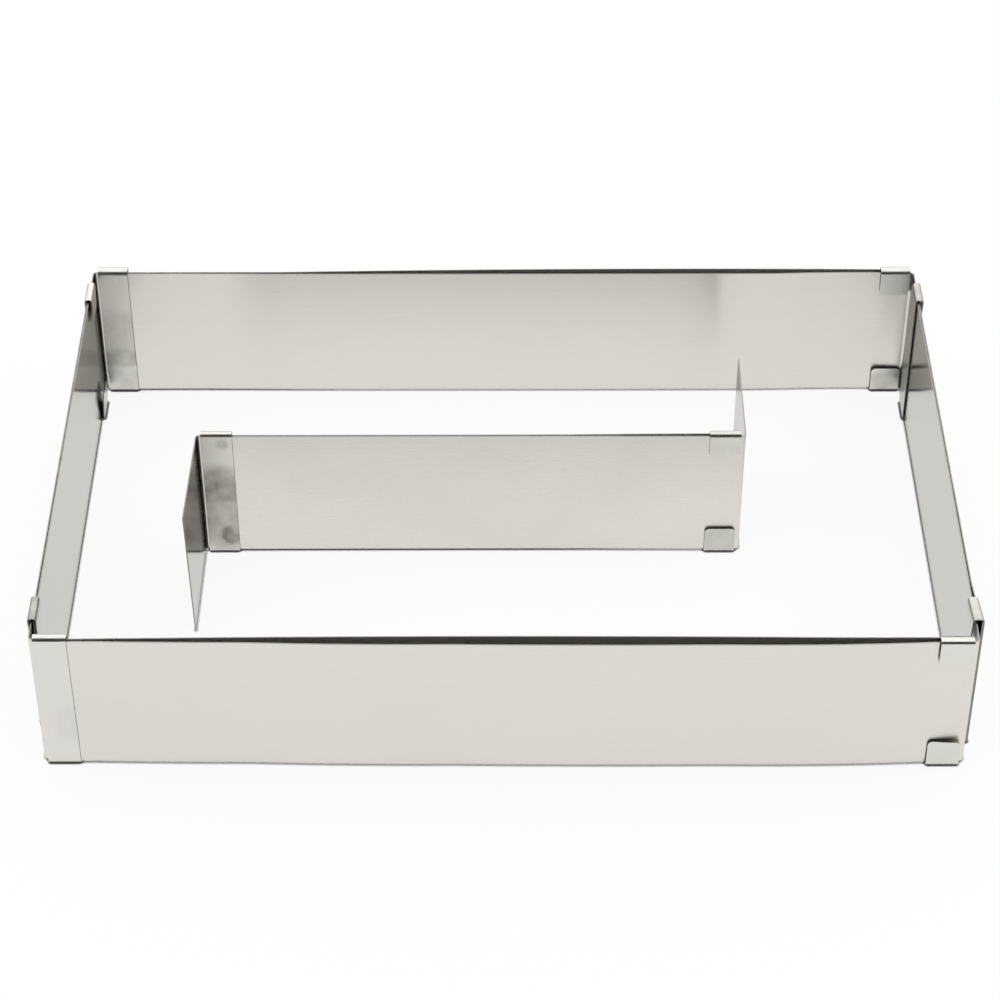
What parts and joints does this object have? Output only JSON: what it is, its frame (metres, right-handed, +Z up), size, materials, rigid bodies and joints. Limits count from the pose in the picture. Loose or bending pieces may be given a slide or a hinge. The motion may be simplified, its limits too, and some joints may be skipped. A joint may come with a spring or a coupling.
{
  "type": "adjustable baking frame",
  "caption": "Rectangular stainless steel cake frame of bent strips that slide in folded C-clips to set its length and width, with a loose extending Z-shaped divider standing inside.",
  "frame": {"origin": "centre of the frame's plan, on the surface that it stands on", "axes": "+X along the long sides, +Y from the front long side to the back one, +Z up"},
  "size_m": [0.2838, 0.1858, 0.0518],
  "materials": {
    "strip_steel": "bright rolled stainless sheet, faintly brushed along the strip",
    "clip_steel": "stamped stainless sheet, brushed across the band",
    "divider_steel": "stainless sheet with visible lengthwise brushing"
  },
  "bodies": {
    "front_left": {"front_left_strip": "strip_steel", "front_left_long_clip": "clip_steel", "front_left_short_clip": "clip_steel"},
    "front_right": {"front_right_strip": "strip_steel", "front_right_long_clip": "clip_steel", "front_right_short_clip": "clip_steel"},
    "back_left": {"back_left_strip": "strip_steel", "back_left_long_clip": "clip_steel", "back_left_short_clip": "clip_steel"},
    "back_right": {"back_right_strip": "strip_steel", "back_right_long_clip": "clip_steel", "back_right_short_clip": "clip_steel"},
    "divider_left": {"divider_left_strip": "divider_steel", "divider_left_clip": "clip_steel"},
    "divider_right": {"divider_right_strip": "divider_steel", "divider_right_clip": "clip_steel"}
  },
  "joints": [
    {"name": "front_slide", "type": "slide", "parent": "front_left", "child": "front_right", "axis": [1, 0, 0], "range_m": [0, 0.256]},
    {"name": "left_slide", "type": "slide", "parent": "front_left", "child": "back_left", "axis": [0, 1, 0], "range_m": [-0.005, 0.146]},
    {"name": "right_slide", "type": "slide", "parent": "front_right", "child": "back_right", "axis": [0, 1, 0], "range_m": [-0.005, 0.146]},
    {"name": "divider_lift", "type": "slide", "parent": "front_left", "child": "divider_left", "axis": [0, 0, 1], "range_m": [0, 0.08]},
    {"name": "divider_slide", "type": "slide", "parent": "divider_left", "child": "divider_right", "axis": [1, 0, 0], "range_m": [0, 0.06]}
  ],
  "couplings": [
    {"joint": "right_slide", "follows": "left_slide", "ratio": 1}
  ]
}
